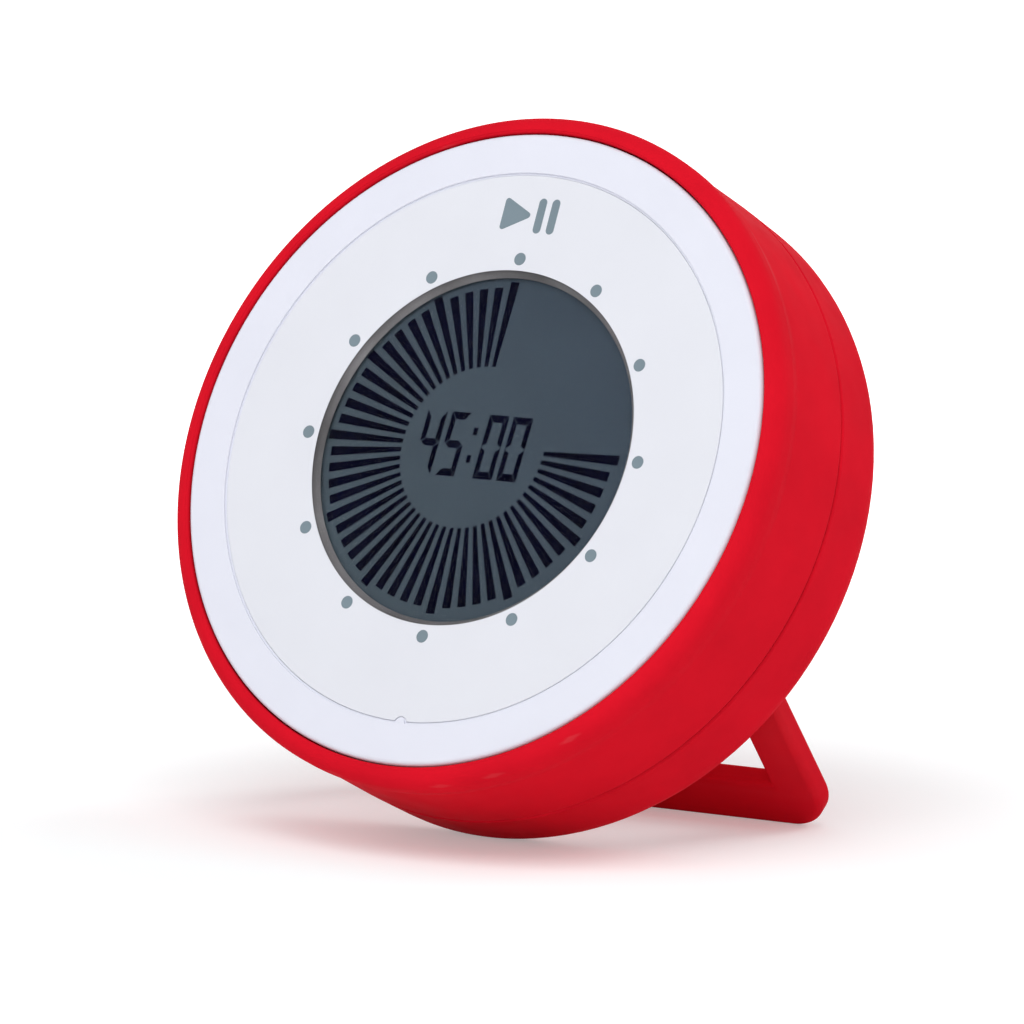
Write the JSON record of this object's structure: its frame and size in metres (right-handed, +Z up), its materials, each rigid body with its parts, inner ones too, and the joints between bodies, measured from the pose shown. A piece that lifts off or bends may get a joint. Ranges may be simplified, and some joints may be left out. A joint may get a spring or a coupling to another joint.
{
  "type": "visual countdown timer",
  "caption": "Round tilted countdown timer with a twist-to-set rim, a ray display behind a press-to-start face, and a fold-out stand.",
  "frame": {"origin": "on the table, under the middle of the timer as it stands on its case and its opened stand", "axes": "+Z up, the face looks towards -Y and leans back, +X to the right of a user who looks at the face"},
  "size_m": [0.09, 0.0622, 0.0908],
  "materials": {
    "red_shell": "satin soft-touch moulding",
    "white_ring": "satin",
    "white_face": "semi-gloss",
    "dark_trim": "satin",
    "clear_window": "clear",
    "display_glass": "reflective liquid crystal display",
    "grey_plastic": "moulded inner part",
    "elastomer": "layered elastomer",
    "circuit_board": "solder mask",
    "black_component": "moulded component",
    "gear_plastic": "natural acetal",
    "steel": "bright",
    "magnet_plate": "nickel plate",
    "red_stand": "satin soft-touch moulding",
    "cell_sleeve": "plain sleeve"
  },
  "bodies": {
    "case": {"rear_case": "red_shell", "front_bezel": "white_ring", "lcd_panel": "display_glass", "lcd_frame": "grey_plastic", "zebra_strip_upper": "elastomer", "zebra_strip_lower": "elastomer", "main_board": "circuit_board", "controller_chip": "black_component", "tact_switch": "black_component", "encoder_body": "black_component", "chassis": "grey_plastic", "speaker": "black_component", "volume_switch": "black_component", "volume_board": "circuit_board", "back_magnets": "magnet_plate", "aaa_cell_upper": "cell_sleeve", "aaa_cell_lower": "cell_sleeve", "contact_plate_right": "steel", "contact_plate_left_upper": "steel", "contact_plate_left_lower": "steel", "hinge_pins": "steel", "case_screws": "steel", "board_screws": "steel", "frame_screws": "steel"},
    "twist_ring": {"twist_ring": "red_shell", "ring_gear": "gear_plastic"},
    "drive_pinion": {"drive_pinion": "gear_plastic", "encoder_shaft": "steel"},
    "face_button": {"face_plate": "white_face", "window_trim": "dark_trim", "window_lens": "clear_window"},
    "switch_plunger": {"switch_plunger": "black_component"},
    "stand": {"stand": "red_stand"},
    "battery_door": {"battery_door": "red_shell", "door_screw": "steel"},
    "volume_slider": {"volume_knob": "grey_plastic"}
  },
  "joints": [
    {"name": "ring_turn", "type": "hinge", "parent": "case", "child": "twist_ring", "pos_m": [0, -0.00507, 0.04738], "axis": [0, -0.9029, 0.4299], "continuous": true},
    {"name": "pinion_turn", "type": "hinge", "parent": "case", "child": "drive_pinion", "pos_m": [0, -0.01476, 0.01655], "axis": [0, -0.9029, 0.4299], "continuous": true},
    {"name": "face_press", "type": "hinge", "parent": "case", "child": "face_button", "pos_m": [0, -0.02557, 0.01594], "axis": [-1, 0, 0], "range_deg": [0, 0.36], "stiffness_Nm_per_rad": 5, "springref_deg": -1.03},
    {"name": "plunger_press", "type": "slide", "parent": "case", "child": "switch_plunger", "axis": [0, 0.9029, -0.4299], "range_m": [0, 0.00045]},
    {"name": "stand_fold", "type": "hinge", "parent": "case", "child": "stand", "pos_m": [0, 0.00509, 0.02427], "axis": [1, 0, 0], "range_deg": [0, 116.54]},
    {"name": "door_lift", "type": "slide", "parent": "case", "child": "battery_door", "axis": [0, 0.9029, -0.4299], "range_m": [0, 0.015]},
    {"name": "volume_slide", "type": "slide", "parent": "case", "child": "volume_slider", "axis": [1, 0, 0], "range_m": [-0.002, 0.002]}
  ],
  "couplings": [
    {"joint": "pinion_turn", "follows": "ring_turn", "ratio": 5},
    {"joint": "plunger_press", "follows": "face_press", "m_per_rad": 0.068}
  ]
}
